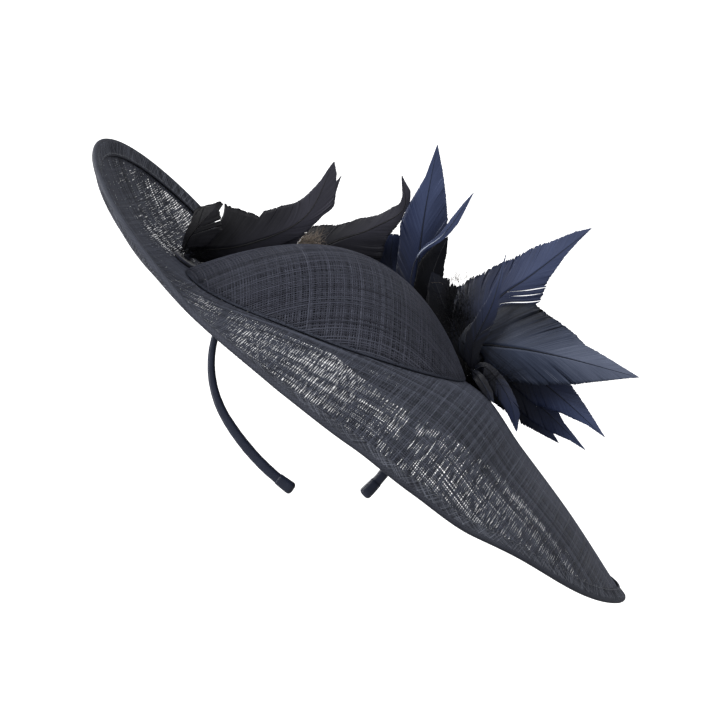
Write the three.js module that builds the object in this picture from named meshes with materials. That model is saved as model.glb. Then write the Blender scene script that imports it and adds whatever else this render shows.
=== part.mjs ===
// Saucer fascinator: a swooping brim and blocked crown in two plies of sinamay, trimmed feathers on felt
// pads, and a satin-sleeved sprung headband.
//
// Millimetres, +Z up. X runs to the wearer's left and Y to the back of the head. The origin is the head
// seat: the middle of the headband's inner face, where the band rests on the top of the head.
//
// The brim and crown are shaped in the brim's own frame: s runs along the brim from the high tip to the
// low tip, d runs from front to back, and h is the height above the flat disc the brim was blocked from.

import * as THREE from 'three';

// Brim
const BRIM_LENGTH = 442;
const BRIM_DEPTH = 416;
const BRIM_CENTRE = new THREE.Vector3(27.7, 0, -68.4);
const BRIM_ROLL = 40.4; // degrees that the long axis falls towards the wearer's left
const BRIM_PITCH = 4.8; // degrees that the front edge is lower than the back
const RIM_CURL = 25.6; // rise of the curled-up rim at the high tip
const HALF_LENGTH = BRIM_LENGTH / 2;
const HALF_DEPTH = BRIM_DEPTH / 2;

// Each profile is a list of [s / HALF_LENGTH, value]: the height of the middle line, how far the front and
// back droop below it, how much of the rim's curl there is, and how far the back is twisted up.
const MIDDLE = [
  [-1, -23], [-0.566, -25], [-0.163, 7.5], [0.1, 27.7], [0.3, 37.8], [0.5, 27], [0.75, 14.5], [1, -2],
];
const DROOP = [
  [-1, 13], [-0.6, 9], [-0.39, 20.5], [-0.16, 35], [0.1, 47], [0.3, 57.5], [0.65, 48], [1, 78],
];
const CURL_SHARE = [[-1, 1.12], [-0.7, 0.98], [-0.39, 0.44], [-0.1, 0.18], [0.1, 0], [1, 0]];
const TWIST = [[-1, 15], [-0.7, 10], [-0.39, 2.6], [0.1, -0.5], [0.5, 4.2], [1, -10]];

// Sinamay plies and rim, as distances from the middle surface of the brim
const PLY = 0.6;
const PLY_GAP = 0.3;
const RIM_STATIONS = [2.8, 11, 24, 46, 78]; // distance in from the rim of each ring of the brim's mesh
const BINDING_WIDTH = 9;
const BINDING_INNER = 1.25;
const BINDING_OUTER = 1.8;
const WIRE_INSET = 1.75;
const WIRE_RADIUS = 0.55;
const AROUND_BRIM = 48;

// Crown, in the brim's frame
const CROWN_CENTRE_S = -36;
const CROWN_HALF_LENGTH = 90;
const CROWN_HALF_DEPTH = 80;
const CROWN_HEIGHT = 48;
const CROWN_TILT = 18.5; // degrees that the crown leans back towards the high tip
const CROWN_SKEW = 0.12; // how far the top of the dome lies towards the low tip
const CROWN_SEAT = 1.9; // height of the crown's base above the middle surface of the brim
const CROWN_OPENING = 0.93; // size of the brim's opening against the crown's base
const CROWN_RINGS = [0.16, 0.34, 0.52, 0.7, 0.86, 1];
const RIBBON_RINGS = [0.78, 0.86, 0.93];
const RIBBON_LIFT = 1.5;
const RIBBON_THICKNESS = 0.7;
const AROUND_CROWN = 40;

// Headband: a round arch whose two legs open out to wider curves
const BAND_RADIUS = 68.1;
const BAND_STEP = 10;
const LEFT_HINGE = 76; // distance along the band from its top to where each leg starts to flex
const RIGHT_HINGE = 113;
const LEFT_LEG = { curve: 143, radius: 141, end: 202.5 }; // distances from the top where it opens and ends
const RIGHT_LEG = { curve: 113, radius: 118, end: 198 };
const HINGE_GAP = 1.4;
const SLEEVE = { width: 8, thickness: 4.6, corner: 1.5, padded: true };
const SLEEVE_BORE = { width: 6.8, thickness: 2.4, corner: 0.5 };
const CORE = { width: 6, thickness: 1.6, corner: 0.3 };
const TIP = { width: 9.4, thickness: 6, corner: 2, padded: true };
const TIP_BORE = { width: 8.6, thickness: 5.2, corner: 1.5, padded: true };
const PADDING = { from: 90, to: 170, depth: 2.2 }; // the cover thickens inwards down each leg
const TIP_DEPTH = 9;
const TIP_END = 3.2;
const KEEPER = { width: 10.6, thickness: 7.2, corner: 1.6 };
const KEEPER_BORE = { width: 8.8, thickness: 5.4, corner: 1.5 };
const KEEPER_LENGTH = 8;
const LEFT_KEEPER = 46; // distance along the band from its top
const RIGHT_KEEPER = 92;

// Feather mounts: a felt pad on the brim and a thread whipping on it
const PAD_RADIUS = 9;
const PAD_LIFT = 1.5;
const PAD_THICKNESS = 1.5;
const WHIPPING_RADIUS = 2.6;
const WHIPPING_HEIGHT = 6;
const MOUNTS = {
  left: { s: -133, d: 26 },
  rear_left: { s: -56, d: 94 },
  rear_right: { s: 30, d: 80 },
  right: { s: 66, d: 18 },
};

const QUILL_THICKNESS = 1.1;
const VANE_PROFILE = [
  [0, 0.05], [0.14, 0.08], [0.25, 0.6], [0.42, 1], [0.6, 0.9], [0.75, 0.62], [0.88, 0.32], [1, 0.02],
];

const NAVY_SINAMAY = 0x2a2f40;
const DARK_SINAMAY = 0x222634;
const NAVY_SATIN = 0x262c42;
const NAVY_FEATHER = 0x1c2740;
const BROWN_FEATHER = 0x1c1b1f;
const FELT = 0x1d2130;
const STEEL = 0x8d9095;

// A smooth curve through [station, value] pairs, with each slope taken across its two neighbours.
function smoothValue(stations, at) {
  const last = stations.length - 1;
  const slope = (i) => {
    const a = stations[Math.max(i - 1, 0)];
    const b = stations[Math.min(i + 1, last)];
    return (b[1] - a[1]) / (b[0] - a[0]);
  };
  let i = 0;
  while (i < last - 1 && at > stations[i + 1][0]) i += 1;
  const [x0, y0] = stations[i];
  const [x1, y1] = stations[i + 1];
  const span = x1 - x0;
  const t = THREE.MathUtils.clamp((at - x0) / span, 0, 1);
  const rise = t * t * (3 - 2 * t);
  const leave = t * (1 - t) * (1 - t) * slope(i);
  const arrive = t * t * (t - 1) * slope(i + 1);
  return y0 + (y1 - y0) * rise + span * (leave + arrive);
}

// One closed body through a list of rings, each a loop of the same number of points. The rings close on
// themselves, or end in the two points given. From ring mirrorFrom on, the quads are split along their
// other diagonal, so that a shell's two faces are split alike and stay parallel.
function skinRings(rings, { ends = null, mirrorFrom = rings.length } = {}) {
  const sides = rings[0].length;
  const points = rings.flat();
  const triangles = [];
  const bands = ends ? rings.length - 1 : rings.length;
  for (let i = 0; i < bands; i += 1) {
    const a = i * sides;
    const b = ((i + 1) % rings.length) * sides;
    for (let j = 0; j < sides; j += 1) {
      const k = (j + 1) % sides;
      if (i < mirrorFrom) triangles.push([a + j, a + k, b + k], [a + j, b + k, b + j]);
      else triangles.push([a + j, a + k, b + j], [a + k, b + k, b + j]);
    }
  }
  if (ends) {
    const first = points.push(ends[0]) - 1;
    const last = points.push(ends[1]) - 1;
    const end = (rings.length - 1) * sides;
    for (let j = 0; j < sides; j += 1) {
      const k = (j + 1) % sides;
      triangles.push([first, k, j], [last, end + j, end + k]);
    }
  }
  return closedGeometry(points, triangles);
}

// A bar through a list of rings, closed flat at both ends.
const skinBar = (rings) => skinRings(rings, { ends: [mean(rings[0]), mean(rings.at(-1))] });

// A shell between the rings of its upper face and those of its lower face, listed in the same order.
function skinShell(upper, lower, ends = null) {
  return skinRings([...upper, ...lower.toReversed()], { ends, mirrorFrom: upper.length });
}

// A geometry whose faces point out, whichever way round the triangles were given.
function closedGeometry(points, triangles) {
  const volume = triangles.reduce((sum, [a, b, c]) => {
    const normal = new THREE.Vector3().crossVectors(points[b], points[c]);
    return sum + points[a].dot(normal);
  }, 0);
  const outward = volume > 0 ? triangles : triangles.map(([a, b, c]) => [a, c, b]);
  const geometry = new THREE.BufferGeometry().setFromPoints(points);
  geometry.setIndex(outward.flat());
  geometry.computeVertexNormals();
  return geometry;
}

function makeMesh(name, geometry, color, roughness, metalness = 0) {
  const material = new THREE.MeshStandardMaterial({ color, roughness, metalness });
  const mesh = new THREE.Mesh(geometry, material);
  mesh.name = name;
  return mesh;
}

const turn = (i, count) => (2 * Math.PI * i) / count;
const mean = (points) => {
  const sum = points.reduce((total, point) => total.add(point), new THREE.Vector3());
  return sum.divideScalar(points.length);
};

// The brim's frame, in which the brim, crown and pads are made.
function makeBrimFrame() {
  const roll = THREE.MathUtils.degToRad(BRIM_ROLL);
  const pitch = THREE.MathUtils.degToRad(BRIM_PITCH);
  const frame = new THREE.Group();
  frame.position.copy(BRIM_CENTRE);
  frame.rotation.set(pitch, roll, 0, 'YXZ');
  frame.updateMatrixWorld();
  return frame;
}

// Height of the brim's middle surface.
function brimHeight(s, d) {
  const u = s / HALF_LENGTH;
  const v = d / HALF_DEPTH;
  const curl = RIM_CURL * smoothValue(CURL_SHARE, u) * (u * u + v * v) ** 3;
  return smoothValue(MIDDLE, u) - smoothValue(DROOP, u) * v * v + curl + smoothValue(TWIST, u) * v;
}

// The point of a surface at (a, b), moved out along the surface's normal by lift.
function liftedPoint(surface, a, b, lift) {
  const step = 1e-3;
  const point = surface(a, b);
  const along = surface(a + step, b).sub(point);
  const across = surface(a, b + step).sub(point);
  const normal = along.cross(across).normalize();
  return point.addScaledVector(normal, lift);
}

const brimSurface = (s, d) => new THREE.Vector3(s, d, brimHeight(s, d));
const brimPoint = (s, d, lift) => liftedPoint(brimSurface, s, d, lift);

// A point of the brim at an angle round it, a distance in from the rim.
function rimPoint(angle, inset, lift) {
  const s = (HALF_LENGTH - inset) * Math.cos(angle);
  const d = (HALF_DEPTH - inset) * Math.sin(angle);
  return brimPoint(s, d, lift);
}

function brimRing(inset, lift) {
  return Array.from({ length: AROUND_BRIM }, (_, i) => rimPoint(turn(i, AROUND_BRIM), inset, lift));
}

// A ring of the brim at the crown's opening, on the same spokes as the rim.
function openingRing(size, lift) {
  return Array.from({ length: AROUND_BRIM }, (_, i) => {
    const angle = turn(i, AROUND_BRIM);
    const s = CROWN_CENTRE_S + CROWN_HALF_LENGTH * size * Math.cos(angle);
    const d = CROWN_HALF_DEPTH * size * Math.sin(angle);
    return brimPoint(s, d, lift);
  });
}

function makeBrimPly(name, low, color) {
  const face = (lift) => [
    ...RIM_STATIONS.map((inset) => brimRing(inset, lift)),
    openingRing(1.12, lift),
    openingRing(CROWN_OPENING, lift),
  ];
  return makeMesh(name, skinShell(face(low + PLY), face(low)), color, 0.75);
}

// The bias strip: a U section folded over the rim, open towards the crown. It starts inside the fold,
// goes round the upper wall and the outside of the fold, and comes back round the lower wall.
function makeRimBinding() {
  const fold = 1.3;
  const section = [
    [fold, BINDING_INNER], [BINDING_WIDTH, BINDING_INNER], [BINDING_WIDTH, BINDING_OUTER],
    [fold, BINDING_OUTER], [0, BINDING_OUTER / 2], [0, -BINDING_OUTER / 2], [fold, -BINDING_OUTER],
    [BINDING_WIDTH, -BINDING_OUTER], [BINDING_WIDTH, -BINDING_INNER], [fold, -BINDING_INNER],
    [PLY, -BINDING_OUTER / 3], [PLY, BINDING_OUTER / 3],
  ];
  const rings = section.map(([inset, lift]) => brimRing(inset, lift));
  const geometry = skinRings(rings, { mirrorFrom: section.length / 2 });
  return makeMesh('rim_binding', geometry, DARK_SINAMAY, 0.7);
}

function makeRimWire() {
  const sides = 5;
  const rings = Array.from({ length: sides }, (_, i) => {
    const angle = turn(i, sides);
    return brimRing(WIRE_INSET + WIRE_RADIUS * Math.cos(angle), WIRE_RADIUS * Math.sin(angle));
  });
  return makeMesh('rim_wire', skinRings(rings), STEEL, 0.4, 0.8);
}

// The crown's middle surface: a dome that leans towards the high tip and stands on the brim all round.
function crownSurface(x, y) {
  const size = Math.hypot(x, y);
  const lean = THREE.MathUtils.degToRad(CROWN_TILT);
  const edgeX = size > 0 ? x / size : 1;
  const edgeY = size > 0 ? y / size : 0;
  const edge = brimHeight(CROWN_CENTRE_S + CROWN_HALF_LENGTH * edgeX, CROWN_HALF_DEPTH * edgeY);
  const middle = brimHeight(CROWN_CENTRE_S, 0);
  const slope = CROWN_HALF_LENGTH * Math.tan(lean);
  const base = middle + slope * x + (edge - middle - slope * edgeX) * size * size;
  const dome = CROWN_HEIGHT * (1 - size * size) * (1 + CROWN_SKEW * x);
  return new THREE.Vector3(
    CROWN_CENTRE_S + CROWN_HALF_LENGTH * x - dome * Math.sin(lean),
    CROWN_HALF_DEPTH * y,
    base + CROWN_SEAT + dome * Math.cos(lean),
  );
}

function crownRing(size, lift) {
  return Array.from({ length: AROUND_CROWN }, (_, i) => {
    const angle = turn(i, AROUND_CROWN);
    return liftedPoint(crownSurface, size * Math.cos(angle), size * Math.sin(angle), lift);
  });
}

function makeCrownPly(name, low, color) {
  const face = (lift) => CROWN_RINGS.map((size) => crownRing(size, lift));
  const apex = (lift) => mean(crownRing(0.02, lift));
  const geometry = skinShell(face(low + PLY), face(low), [apex(low + PLY), apex(low)]);
  return makeMesh(name, geometry, color, 0.75);
}

function makeSeamRibbon() {
  const face = (lift) => RIBBON_RINGS.map((size) => crownRing(size, lift));
  const geometry = skinShell(face(-RIBBON_LIFT), face(-RIBBON_LIFT - RIBBON_THICKNESS));
  return makeMesh('seam_ribbon', geometry, NAVY_SATIN, 0.5);
}

// Place on the headband's middle line, a distance from its top, as a position and an outward direction.
// Positive distances go down the right leg and negative ones down the left leg.
function bandPlace(distance) {
  const side = Math.sign(distance) || 1;
  const leg = side > 0 ? RIGHT_LEG : LEFT_LEG;
  const along = Math.abs(distance);
  const angle = Math.min(along, leg.curve) / BAND_RADIUS;
  const bend = Math.max(along - leg.curve, 0) / leg.radius;
  const chord = 2 * leg.radius * Math.sin(bend / 2);
  const heading = angle + bend / 2;
  const x = side * (BAND_RADIUS * Math.sin(angle) + chord * Math.cos(heading));
  const z = bandCentreZ() + BAND_RADIUS * Math.cos(angle) - chord * Math.sin(heading);
  const facing = angle + bend;
  const outward = new THREE.Vector3(side * Math.sin(facing), 0, Math.cos(facing));
  return { position: new THREE.Vector3(x, 0, z), outward };
}

// The facet under the arch's top, between its two middle stations, lies in the plane z = 0.
function bandCentreZ() {
  const inner = BAND_RADIUS - SLEEVE.thickness / 2;
  return -inner * Math.cos(BAND_STEP / 2 / BAND_RADIUS);
}

function padding(distance) {
  return PADDING.depth * THREE.MathUtils.smoothstep(Math.abs(distance), PADDING.from, PADDING.to);
}

// A section with cut corners across the band.
function bandRing(distance, { width, thickness, corner, padded }) {
  const { position, outward } = bandPlace(distance);
  const w = width / 2;
  const t = thickness / 2;
  const inner = t + (padded ? padding(distance) : 0);
  const outline = [
    [w, t - corner], [w - corner, t], [corner - w, t], [-w, t - corner],
    [-w, corner - inner], [corner - w, -inner], [w - corner, -inner], [w, corner - inner],
  ];
  return outline.map(([y, out]) => {
    const point = position.clone().addScaledVector(outward, out);
    return point.setY(y);
  });
}

// Distances from one end of a stretch of the band to the other, near BAND_STEP apart.
function bandStations(from, to) {
  const count = Math.max(1, Math.round(Math.abs(to - from) / BAND_STEP));
  return Array.from({ length: count + 1 }, (_, i) => THREE.MathUtils.lerp(from, to, i / count));
}

// The arch's stations, placed so that its top is in the middle of a step.
function archStations(cut) {
  const half = BAND_STEP / 2;
  const left = bandStations(-LEFT_HINGE + cut, -half);
  const right = bandStations(half, RIGHT_HINGE - cut);
  return [...left, ...right];
}

function sleeveGeometry(stations, outer, bore) {
  return skinShell(stations.map((at) => bandRing(at, outer)), stations.map((at) => bandRing(at, bore)));
}

function coreGeometry(stations) {
  return skinBar(stations.map((at) => bandRing(at, CORE)));
}

function legStations(side) {
  const cut = HINGE_GAP / 2;
  return side > 0
    ? bandStations(RIGHT_HINGE + cut, RIGHT_LEG.end)
    : bandStations(-LEFT_HINGE - cut, -LEFT_LEG.end);
}

// The folded end of the sleeve: a cup over the end of the leg, with a rounded nose.
function tipGeometry(side) {
  const { end } = side > 0 ? RIGHT_LEG : LEFT_LEG;
  const at = (past) => side * (end + past);
  const nose = { width: TIP.width - 2.4, thickness: TIP.thickness - 2.4, corner: 1.4, padded: true };
  return skinBar([
    bandRing(at(0.4), TIP_BORE),
    bandRing(at(-TIP_DEPTH), TIP_BORE),
    bandRing(at(-TIP_DEPTH), TIP),
    bandRing(at(1.2), TIP),
    bandRing(at(TIP_END), nose),
  ]);
}

function keeperGeometry(distance) {
  const half = KEEPER_LENGTH / 2;
  return sleeveGeometry([distance - half, distance + half], KEEPER, KEEPER_BORE);
}

function makeHeadband() {
  const band = new THREE.Group();
  const arch = archStations(HINGE_GAP / 2);
  const add = (name, geometry, color, roughness, metalness) => {
    band.add(makeMesh(name, geometry, color, roughness, metalness));
  };
  add('headband_core_arch', coreGeometry(arch), STEEL, 0.4, 0.8);
  add('headband_sleeve_arch', sleeveGeometry(arch, SLEEVE, SLEEVE_BORE), NAVY_SATIN, 0.45);
  for (const [word, side] of [['left', -1], ['right', 1]]) {
    const stations = legStations(side);
    const keeper = side > 0 ? RIGHT_KEEPER : -LEFT_KEEPER;
    add(`headband_core_${word}`, coreGeometry(stations), STEEL, 0.4, 0.8);
    add(`headband_sleeve_${word}`, sleeveGeometry(stations, SLEEVE, SLEEVE_BORE), NAVY_SATIN, 0.45);
    add(`headband_tip_${word}`, tipGeometry(side), NAVY_SATIN, 0.45);
    add(`headband_keeper_${word}`, keeperGeometry(keeper), NAVY_SATIN, 0.5);
  }
  return band;
}

// A round, flat-ended stack of discs standing on the brim.
function standingGeometry(s, d, radius, low, high, sides) {
  const middle = brimSurface(s, d);
  const up = brimPoint(s, d, 1).sub(middle);
  const along = new THREE.Vector3(1, 0, 0).projectOnPlane(up).normalize();
  const across = new THREE.Vector3().crossVectors(up, along);
  const ring = (height) => Array.from({ length: sides }, (_, i) => {
    const angle = turn(i, sides);
    const point = middle.clone().addScaledVector(up, height);
    point.addScaledVector(along, radius * Math.cos(angle));
    return point.addScaledVector(across, radius * Math.sin(angle));
  });
  return skinBar([ring(low), ring(high)]);
}

function makeMounts() {
  const mounts = new THREE.Group();
  const padTop = PAD_LIFT + PAD_THICKNESS;
  const wrapLow = padTop + PLY_GAP;
  for (const [word, { s, d }] of Object.entries(MOUNTS)) {
    const pad = standingGeometry(s, d, PAD_RADIUS, PAD_LIFT, padTop, 16);
    const wrap = standingGeometry(s, d, WHIPPING_RADIUS, wrapLow, wrapLow + WHIPPING_HEIGHT, 10);
    mounts.add(makeMesh(`feather_pad_${word}`, pad, FELT, 0.9));
    mounts.add(makeMesh(`feather_whipping_${word}`, wrap, FELT, 0.6));
  }
  return mounts;
}

// Every feather: the line of its quill from root to tip, the widths of its vane to the left and right of
// the quill as seen growing from the front, the turn of its face about the quill in degrees, and its colour.
const FEATHERS = {
  left_long: {
    line: [[-87, 30, 8], [-47, 32, 13], [-9, 34, 31], [10, 36, 67.5]],
    widths: [26, 9], turn: 12, color: BROWN_FEATHER,
  },
  left_back: {
    line: [[-87, 37, 7], [-45, 40, 10], [-2, 42, 29], [15, 44, 59]],
    widths: [6, 6], turn: 8, color: BROWN_FEATHER,
  },
  left_short: {
    line: [[-87.5, 24, 9], [-83.5, 22, 17], [-76, 20, 26], [-66, 18, 36.5]],
    widths: [7, 11], turn: -12, color: BROWN_FEATHER,
  },
  rear_left_long: {
    line: [[-13, 90, -16], [1, 88, 12], [35, 84, 26], [56, 82, 39.5], [54.5, 80, 61.5]],
    widths: [13, 16], turn: 0, color: BROWN_FEATHER,
  },
  rear_left_short: {
    line: [[-15.5, 96, -16], [-11, 96, 4], [1.5, 94, 20], [20, 92, 31]],
    widths: [6, 6], turn: 0, color: BROWN_FEATHER,
  },
  rear_right_tall: {
    line: [[61.5, 82, -45], [64, 80, -12], [69, 76, 31], [78, 70, 81]],
    widths: [16, 16], turn: 10, color: NAVY_FEATHER,
  },
  rear_right_blade: {
    line: [[64, 66, -42], [60, 65, -12], [65.6, 64, 8], [81.4, 62, 20.7], [102, 62, 49]],
    widths: [4, 4], turn: 0, color: NAVY_FEATHER,
  },
  rear_right_dark: {
    line: [[66.5, 73, -46], [71.5, 71, -18.5], [77, 70, 2], [85, 70, 20]],
    widths: [10, 7], turn: 0, color: BROWN_FEATHER,
  },
  rear_right_round: {
    line: [[57.5, 95, -45], [52, 97, -15], [47.5, 98, 4], [49, 98, 23]],
    widths: [7, 12], turn: 0, color: NAVY_FEATHER,
  },
  rear_right_low: {
    line: [[65, 90, -48], [72, 88, -34], [86, 86, -22], [103, 84, -16]],
    widths: [8, 9], turn: 0, color: BROWN_FEATHER,
  },
  right_high: {
    line: [[99, 26, -70], [100.5, 28, -49], [115.5, 32, -23], [137, 38, -7.5], [178.5, 48, 24.5]],
    widths: [21, 16], turn: 5, color: NAVY_FEATHER,
  },
  right_spike: {
    line: [[98, 15, -69.5], [99.5, 10, -52], [111, 5, -26.5], [120.5, 8, 7]],
    widths: [5, 5], turn: 0, color: BROWN_FEATHER,
  },
  right_large: {
    line: [[99, 20, -70], [101, 17, -53.5], [121, 13, -53.5], [150, 8, -58.5], [205, 0, -73]],
    widths: [28, 21], turn: 0, color: NAVY_FEATHER,
  },
  right_low: {
    line: [[100.5, 24, -71], [105.5, 24, -62], [125, 24, -63], [152.5, 26, -82.5], [185.5, 30, -112]],
    widths: [13, 13], turn: 0, color: NAVY_FEATHER,
  },
  right_lower: {
    line: [[101.5, 31, -72], [110, 33, -67], [125.5, 36, -76.5], [148.5, 40, -96], [174.5, 46, -121]],
    widths: [8, 8], turn: 0, color: NAVY_FEATHER,
  },
  right_under: {
    line: [[102, 38, -73.5], [111.5, 42, -71.5], [124.5, 46, -82.5], [140, 50, -98], [157.5, 56, -116.5]],
    widths: [7, 11], turn: 0, color: NAVY_FEATHER,
  },
  right_curl: {
    line: [[99, 11, -69.5], [106, 7, -66], [116.5, 4, -77], [123.5, 3, -91], [127, 5, -108]],
    widths: [4, 7], turn: 0, color: NAVY_FEATHER,
  },
  right_base: {
    line: [[96, 44, -74], [95, 50, -58], [85, 56, -34], [74, 60, -4]],
    widths: [9, 16], turn: 0, color: BROWN_FEATHER,
  },
  right_sliver: {
    line: [[98, 8, -68], [102, 1, -72.5], [107, -2, -80], [112, -3, -89]],
    widths: [3, 3], turn: 0, color: NAVY_FEATHER,
  },
};

// A pointed vane that is thickest along its quill and thins to both edges.
function featherGeometry({ line, widths, turn: faceTurn }) {
  const curve = new THREE.CatmullRomCurve3(line.map((point) => new THREE.Vector3(...point)));
  const front = new THREE.Vector3(0, -1, 0);
  const rings = VANE_PROFILE.map(([t]) => {
    const middle = curve.getPointAt(t);
    const tangent = curve.getTangentAt(t);
    const face = front.clone().projectOnPlane(tangent).normalize();
    face.applyAxisAngle(tangent, THREE.MathUtils.degToRad(faceTurn));
    const side = new THREE.Vector3().crossVectors(tangent, face);
    const [left, right] = widths.map((width) => Math.max(width * smoothValue(VANE_PROFILE, t), 0.5));
    const thickness = (QUILL_THICKNESS / 2) * (1 - 0.6 * t);
    return [
      middle.clone().addScaledVector(side, right),
      middle.clone().addScaledVector(face, thickness),
      middle.clone().addScaledVector(side, -left),
      middle.clone().addScaledVector(face, -thickness),
    ];
  });
  return skinBar(rings);
}

function makeFeathers() {
  const feathers = new THREE.Group();
  for (const [place, feather] of Object.entries(FEATHERS)) {
    feathers.add(makeMesh(`feather_${place}`, featherGeometry(feather), feather.color, 0.6));
  }
  return feathers;
}

function makeFascinator() {
  const frame = makeBrimFrame();
  frame.add(
    makeBrimPly('brim_top_ply', PLY_GAP / 2, NAVY_SINAMAY),
    makeBrimPly('brim_under_ply', -PLY_GAP / 2 - PLY, NAVY_SINAMAY),
    makeRimBinding(),
    makeRimWire(),
    makeCrownPly('crown_top_ply', PLY_GAP / 2, DARK_SINAMAY),
    makeCrownPly('crown_under_ply', -PLY_GAP / 2 - PLY, DARK_SINAMAY),
    makeSeamRibbon(),
    makeMounts(),
  );
  const fascinator = new THREE.Group();
  fascinator.add(frame, makeHeadband(), makeFeathers());
  return fascinator;
}

export default makeFascinator();
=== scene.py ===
"""Saucer fascinator: woven sinamay brim and crown, trimmed feathers and a satin-covered headband.

Lengths are millimetres, in the frame of the CAD model, until make_piece() turns them into metres. The brim
and crown are shaped in the brim's own frame: s runs from the high tip to the low tip, d from front to back,
and h is the height above the flat disc.
"""

import bpy
import numpy as np
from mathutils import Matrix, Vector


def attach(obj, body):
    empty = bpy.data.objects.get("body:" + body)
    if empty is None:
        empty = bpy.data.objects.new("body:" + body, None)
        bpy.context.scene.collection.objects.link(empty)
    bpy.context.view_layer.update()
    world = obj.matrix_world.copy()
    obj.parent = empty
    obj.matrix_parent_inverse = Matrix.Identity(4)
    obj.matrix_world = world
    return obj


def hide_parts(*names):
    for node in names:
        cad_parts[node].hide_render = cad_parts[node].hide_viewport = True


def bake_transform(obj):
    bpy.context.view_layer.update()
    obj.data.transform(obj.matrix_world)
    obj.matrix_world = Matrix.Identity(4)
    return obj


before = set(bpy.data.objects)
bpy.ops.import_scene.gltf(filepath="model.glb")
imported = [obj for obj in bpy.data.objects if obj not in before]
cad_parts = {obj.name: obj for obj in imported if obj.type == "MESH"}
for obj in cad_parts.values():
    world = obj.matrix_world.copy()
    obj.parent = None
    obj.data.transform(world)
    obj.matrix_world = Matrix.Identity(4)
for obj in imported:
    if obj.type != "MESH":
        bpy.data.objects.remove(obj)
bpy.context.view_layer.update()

MM = 0.001
ROOT = "headpiece"

# Brim, as in the CAD model
HALF_LENGTH = 221
HALF_DEPTH = 208
BRIM_CENTRE = np.array([27.7, 0, -68.4])
BRIM_ROLL = np.radians(40.4)
BRIM_PITCH = np.radians(4.8)
RIM_CURL = 25.6
MIDDLE = [(-1, -23), (-0.566, -25), (-0.163, 7.5), (0.1, 27.7), (0.3, 37.8), (0.5, 27), (0.75, 14.5), (1, -2)]
DROOP = [(-1, 13), (-0.6, 9), (-0.39, 20.5), (-0.16, 35), (0.1, 47), (0.3, 57.5), (0.65, 48), (1, 78)]
CURL_SHARE = [(-1, 1.12), (-0.7, 0.98), (-0.39, 0.44), (-0.1, 0.18), (0.1, 0), (1, 0)]
TWIST = [(-1, 15), (-0.7, 10), (-0.39, 2.6), (0.1, -0.5), (0.5, 4.2), (1, -10)]
RIM = (0, HALF_LENGTH, HALF_DEPTH)

# Crown, as in the CAD model
CROWN_CENTRE_S = -36
CROWN_HALF_LENGTH = 90
CROWN_HALF_DEPTH = 80
CROWN_HEIGHT = 48
CROWN_TILT = np.radians(18.5)
CROWN_SKEW = 0.12
CROWN_SEAT = 1.9
CREASE = (CROWN_CENTRE_S, CROWN_HALF_LENGTH, CROWN_HALF_DEPTH)
CROWN_OPENING = 0.93
CROWN_EDGE = 0.997

# Weave: distance between threads and thread width, for warp and for weft
BRIM_WEAVE = {"warp": (2.1, 1.12), "weft": (1.35, 0.84)}
CROWN_WEAVE = {"warp": (1.3, 0.66), "weft": (1.3, 0.66)}
LINING_WEAVE = {"warp": (1.1, 1.05), "weft": (1.1, 1.05)}
THREAD_THICKNESS = 0.2
THREAD_STEP = 4.5
THREAD_END = 4
PITCH_VARIETY = 0.055
WIDTH_VARIETY = 0.15
WAVER = 0.12
PLY_LIFT = 0.3
CROSSING_LIFT = 0.02
LIFT_VARIETY = 0.025

# Bias strip: distance between its threads and their width, then its stitches
HEM_PITCH = 2.1
HEM_THREAD = 0.6
STITCH_PITCH = 5.2
STITCH_LENGTH = 4
STITCH_INSET = 8
STITCH_WIDTH = 0.45
STITCH_BOW = np.array([1.45, 2, 2, 1.45])

# Headband, as in the CAD model
BAND_RADIUS = 68.1
BAND_STEP = 10
BAND_WIDTH = 8
BAND_THICKNESS = 4.6
LEFT_LEG = {"side": -1, "hinge": 76, "curve": 143, "radius": 141, "end": 202.5}
RIGHT_LEG = {"side": 1, "hinge": 113, "curve": 113, "radius": 118, "end": 198}
HINGE_REACH = 12
PADDING_START = 90
PADDING_END = 170
PADDING_DEPTH = 2.2
TIP_WIDTH = 9.6
TIP_THICKNESS = 6.2
TIP_DEPTH = 9
TIP_END = 3.2

# Feather mounts, as in the CAD model
PAD_RADIUS = 9
PAD_LIFT = 1.5
PAD_THICKNESS = 1.5
PAD_SIDES = 64
WHIPPING_RADIUS = 2.6
WHIPPING_HEIGHT = 6
WHIPPING_TURNS = 11
MOUNTS = {"left": (-133, 26), "rear_left": (-56, 94), "rear_right": (30, 80), "right": (66, 18)}

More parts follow.
